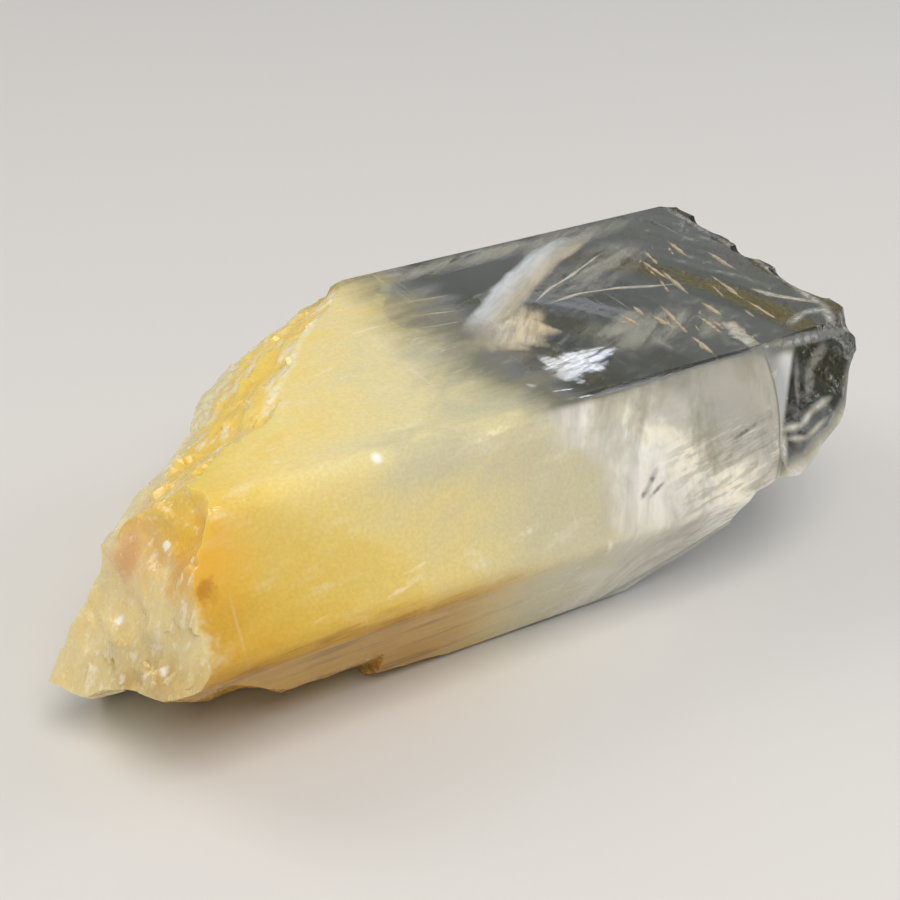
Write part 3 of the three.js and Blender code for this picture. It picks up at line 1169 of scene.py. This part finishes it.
@dataclass
class Crystal:
    """The crystal: the prism less both broken ends, the bevels along its foot and its chips."""

    node: str = NODE
    length: float = 76.0
    section: PrismSection = PrismSection()
    finishes: tuple[QuartzFinish, ...] = (
        QuartzFinish("quartz_prism_face", (0.05, 0.22), 0.5, 0.018, STRIATED),
        QuartzFinish(
            "quartz_glassy_break", (0.06, 0.3), 0.7, 0.05, frost=(0.7, 0.7), scars=RIM, haze=Haze()
        ),
        QuartzFinish(
            "quartz_chip", (0.05, 0.25), 0.9, 0.03, frost=(0.7, 0.6), scars=(*RIM, *ARCS), haze=Haze()
        ),
        QuartzFinish(
            "quartz_ledged_break", (0.2, 0.5), 0.6, 0.1, ((0.3, 1, 1), (0, 0, 43)), (0.6, 0.85),
            ("f4d05c", 0.75), CREST, soft=0.6, pale_below=13.0,
        ),
        QuartzFinish(
            "quartz_steep_break", (0.2, 0.5), 0.6, 0.08, ((0.3, 1, 1), (0, 0, 48)), (0.62, 0.7),
            ("e6d9a2", 0.7), soft=0.6,
        ),
        # At the tip both finishes have small, dense white flakes: partly crushed quartz, partly painted
        # glints.
        QuartzFinish(
            "quartz_tip_upper", (0.12, 0.4), 0.5, 0.1, ((0.5, 1, 1), (0, 0, 20)), (0.64, 0.6),
            ("efc95c", 0.3), painted_glints=PAINTED_GLINTS, flake=0.6, soft=0.55,
        ),
        QuartzFinish(
            "quartz_tip_front", (0.12, 0.5), 0.7, 0.16, ((1, 1, 0.5), (0, 20, 0)), (0.6, 0.7),
            ("e4d196", 0.7), painted_glints=PAINTED_GLINTS, flake=0.6, soft=0.5,
        ),
        QuartzFinish(
            "quartz_foot", (0.2, 0.5), 0.5, 0.07, ((0.4, 1, 1), (0, 0, 0)), (0.64, 0.6), haze=Haze()
        ),
        QuartzFinish(
            "quartz_prism_front", (0.05, 0.22), 0.5, 0.018, STRIATED,
            scars=(RIM[0], ARCS[-1], *CRACKS, *SCRATCHES_AND_PAINTED_HIGHLIGHT), haze=Haze(),
        ),
        QuartzFinish(
            "quartz_prism_top", (0.05, 0.22), 0.5, 0.018, STRIATED,
            scars=(*TOP_RIM, *CREST, *TOP_SCRATCHES),
        ),
    )

    def clear_end(self) -> list[Break]:
        """Return the overhanging break at the clear end: a steep rim over a rolling shell."""

        def rim(u: Array, v: Array) -> Array:
            """Height of the steep rim, in small scallops."""
            coarse = 0.25 * noise(u / 4, v / 4, 3) + 0.2 * noise(u / 1.7, v / 1.7, 4)
            scallops = 0.16 * np.abs(noise(u / 0.9, v / 2.2, 61))
            return coarse + scallops + 0.03 * noise(u / 0.4, v / 0.4, 62)

        def shell(u: Array, v: Array) -> Array:
            """Height of the shell-like break, with ripples about the blow."""
            from_crest = np.hypot(u - 2, v + 39.2) - 41.7
            crest = 1.75 * np.exp(-((from_crest / 4) ** 2))
            coarse = crest + 0.14 * np.sin(1.3 * from_crest) + 0.16 * noise(u / 7, v / 6, 6) - 1.25
            fade = 0.5 + 0.5 * noise(u / 6, v / 5, 63)
            fine = 0.035 * np.sin(5.2 * from_crest + 2.5 * noise(u / 5, v / 5, 64)) * fade
            bearing = np.arctan2(u - 2, v + 39.2) * 60
            plumes = 0.05 * np.abs(noise(bearing * 1.6, from_crest / 6, 65))
            return coarse + fine + plumes * smoothstep(from_crest, -2, -9)

        return [
            Break("rim", (28.4, 0, 16.4), (0.985, -0.1, -0.12), rim, Surface.GLASSY_BREAK, 0.2),
            Break("shell", (21.2, -16, 9), (0.609, -0.06, -0.79), shell, Surface.GLASSY_BREAK, 0.2),
        ]

    def back_break(self) -> list[Break]:
        """Return the long slanting break across the back of the yellow end."""

        def slope(u: Array, v: Array) -> Array:
            """Height of the upper, ledged part."""
            sag = smoothstep(-v, 1.5, 4) * smoothstep(u, -8, 3)
            swell = smoothstep(-v, 1.5, 4) - sag
            bite = 0.75 * smoothstep(u, -8, -3) + 0.9 * np.exp(-(((u - 5.3) / 2.6) ** 2))
            hollow = bite * smoothstep(v, -4, -0.5)
            ragged = 0.35 * noise(u / 5, v / 2.5, 11) + ledges(v + 0.1 * u, 2.9, 0.6)
            facets = 0.5 * hackle(u + 0.4 * v, v, (3.0, 0.9), 0.32, 71)
            fine = facets + 0.06 * noise(u / 0.8, v / 0.35, 72)
            return 0.45 * swell - 0.5 * sag - hollow + ragged + fine

        def steep(u: Array, v: Array) -> Array:
            """Height of the steep part below it."""
            near_tip = smoothstep(u, 16.5, 21.5)
            near_back = 1 - smoothstep(u, -2, 3)
            between = smoothstep(u, -2, 3) - smoothstep(u, 10, 14)
            sweep = 1.9 * near_tip + 0.5 * near_back - 0.5 * between
            coarse = 0.4 * noise(u / 6, v / 4, 5) + 0.2 * noise(u / 2, v / 2, 7)
            fine = 0.7 * hackle(u, v, (1.8, 1.3), 0.3, 73) + 0.05 * noise(u / 0.4, v / 0.6, 74)
            return sweep + coarse + fine

        return [
            Break("slope", (-12, 0.6, 16.4), (-0.45, 0.482, 0.752), slope, Surface.LEDGED_BREAK),
            Break("steep", (-14.5, 6.7, 10.5), (-0.737, 0.653, 0.17), steep, Surface.STEEP_BREAK),
        ]

    def tip(self) -> list[Break]:
        """Return the ragged tip of the yellow end and the undercut below it."""

        def upper(u: Array, v: Array) -> Array:
            """Height of the upper side of the tip."""
            coarse = 0.55 * noise(u / 3, v / 3, 8) + ledges(v + 0.3 * u, 3.4, 0.2)
            coarse = coarse + 1.5 * smoothstep(u, 1.0, 5.5)
            return coarse + 0.12 * noise(u / 1.1, v / 0.8, 81) + 0.03 * noise(u / 0.4, v / 0.4, 82)

        def front(u: Array, v: Array) -> Array:
            """Height of the front of the tip, with ribs that run down it."""
            near_tip = smoothstep(-u, 3, 5)
            coarse = 0.9 * near_tip + 0.4 * noise(u / 2.2, v / 5, 21) + 0.2 * noise(u, v / 1.5, 22) - 0.1
            return coarse + 0.5 * hackle(u, v, (1.3, 3.2), 0.25, 83) + 0.04 * noise(u / 0.3, v / 0.6, 84)

        def under(u: Array, v: Array) -> Array:
            """Height of the undercut below the tip."""
            feet = 0.35 * np.cos(0.9 * (u + 3.1))
            near_tip = smoothstep(-u, 8.5, 11)
            coarse = feet - 0.9 * near_tip + 0.15 * noise(u / 2, v / 2, 31) - 0.2
            return coarse + 0.4 * hackle(u, v, (1.8, 1.5), 0.25, 85)

        return [
            Break(
                "tip_upper", (-20.4, -9.5, 16.4), (-0.81, -0.124, 0.574), upper, Surface.TIP_UPPER, 0.2
            ),
            Break("tip_front", (-26.2, -11.5, 7), (-0.83, -0.42, 0.36), front, Surface.TIP_FRONT, 0.2),
            Break("tip_under", (-17.8, -9.3, 0), (-0.306, -0.551, -0.777), under, Surface.FOOT, 0.25),
        ]

    def lower_front(self) -> list[Break]:
        """Return the bevels broken off the lower front edge."""

        def stepped(u: Array, v: Array) -> Array:
            """Height of the deeper bevel, which ends in a small step."""
            beyond = smoothstep(u, 11.0, 11.5) * 6.0
            fine = 0.3 * hackle(u, v, (2.2, 0.8), 0.25, 91) + 0.04 * noise(u / 0.5, v / 0.4, 92)
            return 0.15 * noise(u / 2.5, v / 2.5, 41) + fine + beyond

        def worn(u: Array, v: Array) -> Array:
            """Height of the shallow worn bevel."""
            return 0.08 * noise(u / 2.5, v / 2.5, 43) + 0.04 * noise(u / 0.7, v / 0.5, 94)

        return [
            Break("stepped", (-22, -9.75, 0), (0, -0.66, -0.75), stepped, Surface.FOOT, 0.25),
            Break("worn", (-6.4, -11.55, 0), (-0.09, -0.62, -0.78), worn, Surface.FOOT, 0.25),
        ]

    def chips(self) -> list[Chip]:
        """Return the chips that have a shape of their own."""
        upper_front = (0.0, -math.sin(math.radians(60)), 0.5)
        return [
            Chip((25, -14.1, 12.4), upper_front, 12, 16, 0.35),
            Chip((27.2, -11.7, 16.2), (0.6, -0.45, 0.66), 4.4, 3.4, 0.8),
            Chip((27.4, -5.5, 16.4), (0.6, 0, 0.8), 5.2, 1.6, 0.2),
            Chip((28, 0.6, 16.4), (0.5, 0.1, 0.86), 3.2, 1.8, 0.25),
            Chip((28.8, 6.2, 16.4), (0.7, 0, 0.7), 4.4, 1.6, 0.2),
            Chip((28.8, 12.6, 15.6), (0.6, 0.6, 0.5), 4.6, 3.2, 0.4),
            Chip((16.7, -16.2, 7.4), (0.3, -0.6, -0.74), 6.6, 4.8, 0.95),
            Chip((10, 17.2, 7.4), (0.1, 0.95, -0.25), 13, 6, 0.9),
            Chip((2, 14.2, 0.6), (0, 0.6, -0.8), 9, 4, 0.7),
            Chip((-25.9, -6.8, 11), (-0.85, 0, 0.5), 4, 2, 0.6, Surface.TIP_UPPER),
        ]

    def part_faces(self, body: Piece) -> None:
        """Give the front and top faces of the prism the slots of their own finishes.

        Args:
            body: The crystal.
        """
        worn_edge = 0.9  # how far the rounded edges reach in from the prism's corners
        front_from = worn_edge - 0.5 * self.section.upper_width
        for side in body.data.polygons:
            if side.material_index != Surface.PRISM.value:
                continue
            if side.normal.z > 0.97:
                side.material_index = Surface.PRISM_TOP.value
            elif side.center.y < front_from and side.normal.y < -0.1:
                side.material_index = Surface.PRISM_FRONT.value

    def build(self) -> Piece:
        """Return the finished crystal."""
        blank = PrismBlank("crystal", -self.length / 2, self.length / 2, self.section, wear=(1.3, 0.06))
        body = blank.build()
        dress_tool(body, Surface.PRISM)
        for gone in [*self.clear_end(), *self.back_break(), *self.tip(), *self.lower_front()]:
            cut(body, gone.tool(body))
        for chip in self.chips():
            cut(body, chip.tool())
        clean(body)
        self.part_faces(body)
        for slot, finish in enumerate(self.finishes):
            body.data.materials[slot] = finish.build()
        finish_piece(body, "quartz_crystal", 24.0)
        for side in body.data.polygons:
            side.use_smooth = side.use_smooth and not self.section.holds(side.normal)
        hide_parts(self.node)
        return body


@dataclass
class CloudCore:
    """The dense inside of the halloysite cloud, where it ends in the clear quartz."""

    start: float = -5.5
    end: float = 9.0
    inset: float = 0.35
    crystal: Crystal = field(default_factory=Crystal)

    def front(self) -> Break:
        """Return the cloud's lumpy front."""

        def lumps(u: Array, v: Array) -> Array:
            """Height of the billows."""
            billows = 1.3 * noise(u / 5, v / 4, 101) + 0.8 * noise(u / 2.2, v / 2, 102)
            return billows + 0.35 * noise(u / 0.9, v / 0.9, 103) + 1.2 * smoothstep(-u, 6, 16)

        return Break("front", (1.2, 0, 8.2), (1.0, -0.12, 0.18), lumps, Surface.PRISM, 0.4, 30.0)

    def build(self) -> Piece:
        """Return the cloud."""
        cloud = PrismBlank("cloud", self.start, self.end, self.crystal.section, self.inset).build()
        deeper = 0.6  # how far the cloud's own breaks lie inside the crystal's
        for gone in [*self.crystal.back_break(), self.front()]:
            if gone.name != "front":
                inward = Vector(gone.outward).normalized() * deeper
                gone = replace(gone, at=tuple(Vector(gone.at) - inward), pitch=0.6)
            cut(cloud, gone.tool(cloud))
        cloud.data.materials.clear()
        cloud.data.materials.append(self.finish())
        return finish_piece(cloud, "halloysite_cloud", 60.0)

    def finish(self) -> bpy.types.Material:
        """Return halloysite in quartz: matt, soft and thinning out at its front."""
        material = new_material("halloysite_cloud")
        tree = material.node_tree
        at = place_on_crystal(tree)
        x, y, _ = at.parts
        wisps = pattern(at, 1.6, 5.0, 0.6, 0.5)
        ragged = Kind.STEP(wisps, 0.25, 0.75, -2.6, 2.6)
        lower = Kind.STEP(y, -6.0, -15.0, 0.0, 1.6)
        past = x - lower + ragged
        thick = Kind.STEP(past, 2.4, -2.2)
        surface = add_node(tree, "ShaderNodeBsdfPrincipled", {"subsurface_method": "RANDOM_WALK"}, {
            "Base Color": Halloysite().colour(at),
            "Roughness": 0.7,
            "IOR": 1.5,
            "Specular IOR Level": 0.1,
            "Subsurface Weight": 0.7,
            "Subsurface Radius": WANDER,
            "Subsurface Scale": 1.2 * MM,
            "Alpha": thick,
        })
        add_node(tree, "ShaderNodeOutputMaterial", None, {"Surface": surface.outputs[0]})
        return material


# ---- Flaws in the clear end ----


def along_line(line: Sequence[Vec], share: Array) -> Array:
    """Return points spaced along a line of straight runs.

    Args:
        line: The line's corners.
        share: How far along each point lies, from 0 to 1.

    Returns:
        One row for each point.
    """
    corners = np.array(line, dtype=float)
    runs = np.linalg.norm(np.diff(corners, axis=0), axis=1)
    at = np.concatenate([[0.0], np.cumsum(runs)]) / runs.sum()
    return np.stack([np.interp(share, at, corners[:, k]) for k in range(3)], axis=1)


def level(height: float, *corners: Pair) -> list[Vec]:
    """Return corners as points of one height."""
    return [(*corner, height) for corner in corners]


@dataclass
class Film:
    """A thin flaw stretched between two edges, with ragged sides and a gentle wave in it."""

    near: Sequence[Vec]
    far: Sequence[Vec]
    seed: float
    wave: float = 0.15  # height of its wave in mm
    ragged: float = 0.08  # how far its sides wander, as a share of its width
    thickness: float = 0.03
    columns: int = 64
    rows: int = 16

    def build(self) -> Piece:
        """Return the film as a thin closed solid with its own UVs."""
        deselect_all()
        bpy.ops.mesh.primitive_grid_add(
            x_subdivisions=self.columns, y_subdivisions=self.rows, size=2.0, calc_uvs=True
        )
        film = bpy.context.object
        share = (coordinates(film) + 1.0) / 2.0
        s, t = share[:, 0], share[:, 1]
        side = np.sin(math.pi * s)
        wander = noise(9 * s, 2 * t, self.seed) + 0.5 * noise(27 * s, 2 * t, self.seed + 1)
        t = t + self.ragged * side * wander
        near, far = along_line(self.near, s), along_line(self.far, s)
        points = near + (far - near) * t[:, None]
        x, y = points @ np.array((0.9, 0.3, 0.2)), points @ np.array((-0.3, 0.9, 0.4))
        swell = noise(x / 2.6, y / 2.6, self.seed + 2)
        lift = self.wave * (swell + 0.4 * noise(x / 0.9, y / 0.9, self.seed + 3))
        set_coordinates(film, points + lift[:, None] * self.normal())
        modifier = film.modifiers.new("body", "SOLIDIFY")
        modifier.thickness = self.thickness
        modifier.offset = 0.0
        bpy.ops.object.modifier_apply(modifier=modifier.name)
        return film

    def normal(self) -> Array:
        """Return the mean direction that the film faces."""
        near, far = np.array(self.near), np.array(self.far)
        normal = np.cross(near[-1] - near[0] + far[-1] - far[0], far.mean(0) - near.mean(0))
        return normal / max(np.linalg.norm(normal), 1e-9)


def sliver(line: Sequence[Vec], width: float, seed: float, side: Vec = (1.0, 0.0, 0.0)) -> Film:
    """Return a narrow film that tapers to a point at both ends.

    Args:
        line: The corners of its middle line.
        width: Its greatest width.
        seed: Which raggedness.
        side: Direction of its width.

    Returns:
        The film.
    """
    count = 12
    share = np.linspace(0.0, 1.0, count)
    middle = along_line(line, share)
    swell = np.sin(math.pi * share) ** 0.8 * (0.75 + 0.5 * lattice(share * 40, share * 0, seed))
    offset = np.clip(swell, 0.02, 2.0)[:, None] * width / 2 * np.array(Vector(side).normalized())
    near, far = middle - offset, middle + offset
    return Film([tuple(p) for p in near], [tuple(p) for p in far], seed, 0.03, 0.0, 0.03, 24, 3)


@dataclass
class Flaws:
    """A group of flaws with the same finish."""

    name: str
    films: Sequence[Film]
    finish: FlawFinish

    def build(self) -> Piece:
        """Return all the group's films as one piece."""
        parts = [film.build() for film in self.films]
        deselect_all()
        for part in parts:
            part.select_set(True)
        bpy.context.view_layer.objects.active = parts[0]
        if len(parts) > 1:
            bpy.ops.object.join()
        piece = parts[0]
        piece.data.materials.append(self.finish.build())
        return finish_piece(piece, self.name, 60.0)


@dataclass
class ClearEnd:
    """Everything that lies in the clear end of the crystal."""

    def wedge(self) -> Flaws:
        """Return the large slanting veil and the pale band along the back edge that it runs into."""
        near = level(15.1, (2.4, 0.4), (5.2, 3.0), (8.7, 5.8), (14.8, 10.3), (18.6, 11.6))
        far = [(3.8, -1.4, 15), *level(14.9, (7.4, 0.8), (10.6, 3.2), (16.0, 7.2)), (21.8, 10.4, 15)]
        films = [Film(near, far, 201, 0.2, 0.06)]
        finish = FlawFinish(
            "veil_in_quartz", "e4e9f2", "d6cbb6", (0.6, 0.98), 1.2, (0.25, 1.4, 1), 38, (0.22, 0.14)
        )
        return Flaws("wedge_veil", films, finish)

    def back_band(self) -> Flaws:
        """Return the thin pale veil along the back edge, and the faint ones beside the wedge."""
        band = Film(
            level(15.7, (-0.5, 11.9), (8.0, 12.1), (18.0, 12.3), (27.8, 12.3)),
            level(15.4, (-0.5, 9.6), (8.0, 9.4), (18.0, 8.8), (27.6, 10.4)),
            207, 0.1, 0.1,
        )
        beside = Film(
            level(14.6, (10.0, 3.0), (15.0, 6.8), (21.0, 10.0)),
            level(14.2, (14.0, 0.6), (20.0, 3.2), (25.5, 7.6)),
            213, 0.2, 0.1,
        )
        low = Film(
            level(14.6, (9.0, -2.6), (15.0, -1.0), (21.0, -3.6)),
            level(14.2, (9.6, -7.4), (15.6, -9.0), (21.4, -9.4)),
            215, 0.2, 0.1,
        )
        finish = FlawFinish(
            "faint_veil_in_quartz", "c9c6ba", "b9b8b0", (0.0, 0.5), 1.6, (0.25, 1.2, 1), 30, (0.4, 0.3)
        )
        return Flaws("faint_veils", [band, beside, low], finish)

    def wedge_foot(self) -> Flaws:
        """Return the rippled tan foot of the slanting veil."""
        near = level(15.0, (0.9, -1.3), (3.8, 0.4), (6.6, 2.4), (9.4, 3.9))
        far = [(2.4, -3.0, 15.0), (5.6, -4.3, 15.1), (8.5, -3.0, 15.1), (10.2, 0.8, 15.0)]
        finish = FlawFinish(
            "tan_veil_in_quartz", "efe6d6", "ead9b6", (0.35, 1.0), 0.8, (0.3, 1.4, 1), 50, (0.35, 0.3)
        )
        return Flaws("wedge_foot", [Film(near, far, 211, 0.3, 0.16)], finish)

    def glare(self) -> Flaws:
        """Return the small rippled crack, painted bluish white and given a glow of its own as a painted
        reflection of the lamp, and the beads beside it.
        """
        near = level(15.8, (4.2, -8.3), (4.9, -6.2), (7.1, -5.4), (10.6, -6.7))
        far = level(15.8, (4.6, -9.4), (5.4, -10.3), (7.8, -9.2), (10.8, -7.3))
        beads = [
            sliver(level(15.9, (2.4, -8.3), (2.9, -9.4)), 0.7, 223),
            sliver(level(15.9, (3.2, -10.2), (4.9, -10.6)), 0.3, 225, (0, 1, 0)),
            sliver(level(15.9, (3.3, -11.3), (5.6, -11.6)), 0.22, 227, (0, 1, 0)),
        ]
        # Bluish white and with a glow of its own: a painted reflection of the lamp.
        finish = FlawFinish(
            "crack_with_painted_glare_in_quartz", "f2f5fc", "e3e9f8", (0.0, 1.0), 0.8, (0.35, 1.5, 1), 12,
            (0.3, 0.2), 0.25,
        )
        return Flaws("crack_with_painted_glare", [Film(near, far, 221, 0.2, 0.2), *beads], finish)

    def veins(self) -> Flaws:
        """Return the fine white veins and hairs."""
        lines = [
            (level(15.4, (9.6, 1.7), (12, 3.3), (14.6, 4.4), (17.7, 6.1), (19.5, 7.0)), 0.6),
            (level(15.4, (10.3, 1.2), (13.7, 1.6), (16.6, 0.9), (19, -0.1), (21.5, -0.9)), 0.75),
            (level(15.6, (0.4, 4.3), (2.5, 3.8), (4.6, 3.3)), 0.3),
            (level(15.6, (-0.2, 2.4), (2.2, 1.9), (4.4, 1.6)), 0.3),
            (level(15.6, (0.8, 6.4), (2.6, 6.3), (5.4, 5.8)), 0.25),
        ]
        films = [sliver(line, width, 231 + k, (0, 1, 0)) for k, (line, width) in enumerate(lines)]
        finish = FlawFinish(
            "vein_in_quartz", "d2ccba", "e2ddd0", (0.5, 0.95), 0.8, (0.3, 1, 1), fade=(0.45, 0.15)
        )
        return Flaws("veins", films, finish)

    def slivers(self) -> Flaws:
        """Return the tan slivers that run across the prism."""
        runs = [
            ((25.4, 7.1), (24.8, 3.3)), ((26.7, 4), (26.4, -0.7)), ((21.3, 4.9), (21, 0.8)),
            ((24.1, 0), (23.5, -4.7)), ((23.5, -4.7), (23.3, -8.5)), ((17.7, -2.3), (16.5, -7.3)),
            ((16.5, -7.3), (16.1, -10.5)), ((15.9, -1.5), (15.7, -3.3)), ((21.5, 2.6), (20.6, -2.1)),
            ((20.5, -3.4), (20.4, -6)), ((19.3, -6.2), (19.1, -8)), ((16.1, -3.3), (16.4, -6.3)),
            ((14.3, -2), (14.5, -4.6)), ((18.9, -5), (18.6, -8.2)), ((22.6, 6.2), (22.0, 3.4)),
        ]
        films = []
        for k, (a, b) in enumerate(runs):
            films.append(sliver([(*a, 14.5), (*b, 14.3)], 0.5, 251 + 3 * k, (1, 0, 0.35)))
            offset = 0.7 + 0.5 * math.sin(5.0 * k)
            start, end = (a[0] - offset, a[1] - 1.2, 14.5), (b[0] - offset, b[1] + 1.0, 14.4)
            films.append(sliver([start, end], 0.26, 252 + 3 * k, (1, 0, 0.35)))
        finish = FlawFinish(
            "tan_sliver_in_quartz", "b09a74", "e6d8ba", (0.6, 1.0), 0.5, fade=(0.3, 0.25)
        )
        return Flaws("tan_slivers", films, finish)

    def splash(self) -> Flaws:
        """Return the white splash and the long flake beside the rim."""
        flake = Film(
            level(15.4, (24.4, -3.8), (24.8, -5.6), (27.0, -8.4)),
            level(15.4, (24.9, -3.8), (25.6, -5.4), (27.5, -8.2)),
            301, 0.1, 0.1, 0.03, 32, 6,
        )
        drop = Film(
            level(15.4, (19.2, -7.0), (18.3, -9.0), (18.2, -11.6)),
            level(15.4, (20.3, -7.4), (19.9, -9.2), (19.4, -11.6)),
            305, 0.1, 0.15, 0.03, 32, 6,
        )
        finish = FlawFinish(
            "white_flake_in_quartz", "e4e2da", "d8cdb8", (0.3, 0.95), 0.6, fade=(0.3, 0.2)
        )
        return Flaws("white_flakes", [flake, drop], finish)

    def build(self) -> None:
        """Build every flaw."""
        groups = (
            self.wedge(), self.back_band(), self.wedge_foot(), self.glare(), self.veins(),
            self.slivers(), self.splash(),
        )
        for group in groups:
            group.build()


# ---- Studio ----


@dataclass
class Studio:
    """A plain pale floor, soft lamps and the camera."""

    camera_at: Vec = (-44.1, -78.82, 60.0)  # in the crystal's own millimetres
    camera_turn: Vec = (60.0, 0.0, -30.25)
    lens: float = 60.0
    sensor: float = 36.0
    floor_size: float = 4.0  # in metres
    floor_gap: float = 0.03  # in millimetres

    def floor(self) -> None:
        """Add the floor, a hair below the face that the crystal rests on."""
        deselect_all()
        bpy.ops.mesh.primitive_plane_add(size=self.floor_size, location=(0, 0, -self.floor_gap * MM))
        floor = bpy.context.object
        floor.name = "studio_floor"
        material = new_material("pale_studio_floor")
        tree = material.node_tree
        # Board with a matt pale coat of paint: an even tone, and no mirror image.
        board = {"Base Color": "dddbd7", "Roughness": 0.6}
        surface = add_node(tree, "ShaderNodeBsdfPrincipled", None, board)
        add_node(tree, "ShaderNodeOutputMaterial", None, {"Surface": surface.outputs[0]})
        floor.data.materials.append(material)

    def lamp(self, name: str, at: Vec, size: float, power: float, tint: str) -> None:
        """Add a square soft lamp that looks at the crystal.

        Args:
            name: The lamp's name.
            at: Its place in metres.
            size: Its side in metres.
            power: Its power in watts.
            tint: Its colour as sRGB hex.
        """
        data = bpy.data.lights.new(name, "AREA")
        data.shape = "SQUARE"
        data.size = size
        data.energy = power
        data.color = srgb(tint)[:3]
        lamp = bpy.data.objects.new(name, data)
        bpy.context.scene.collection.objects.link(lamp)
        lamp.location = at
        lamp.rotation_euler = (-Vector(at)).to_track_quat("-Z", "Y").to_euler()
        lamp.visible_transmission = False

    def world(self) -> None:
        """Fill the shadows with an even pale grey."""
        world = bpy.data.worlds.new("studio")
        world.use_nodes = True
        bpy.context.scene.world = world
        backdrop = world.node_tree.nodes["Background"]
        backdrop.inputs["Color"].default_value = srgb("c9ccd2")
        backdrop.inputs["Strength"].default_value = 0.45

    def camera(self) -> None:
        """Set up the camera."""
        data = bpy.data.cameras.new("camera")
        data.lens = self.lens
        data.sensor_width = self.sensor
        data.clip_start = 5 * MM
        camera = bpy.data.objects.new("camera", data)
        bpy.context.scene.collection.objects.link(camera)
        camera.location = [(c - o) * MM for c, o in zip(self.camera_at, FRAME_ORIGIN)]
        camera.rotation_euler = tuple(math.radians(a) for a in self.camera_turn)
        bpy.context.scene.camera = camera

    def build(self) -> None:
        """Build the whole studio."""
        bpy.context.scene.view_settings.view_transform = "Standard"
        self.floor()
        self.world()
        self.lamp("key", (-0.05, -0.26, 0.48), 0.34, 2.05, "fffaf4")
        self.lamp("back", (-0.28, 0.40, 0.42), 0.30, 0.95, "fffaf2")
        self.lamp("side", (0.46, -0.10, 0.24), 0.24, 0.6, "f2f6ff")
        self.camera()


def main() -> None:
    """Build the crystal, what lies in it and the studio."""
    logging.basicConfig(level=logging.INFO, format="%(name)s: %(message)s")
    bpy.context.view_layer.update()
    Studio().build()
    Crystal().build()
    CloudCore().build()
    ClearEnd().build()


if __name__ == "__main__":
    main()
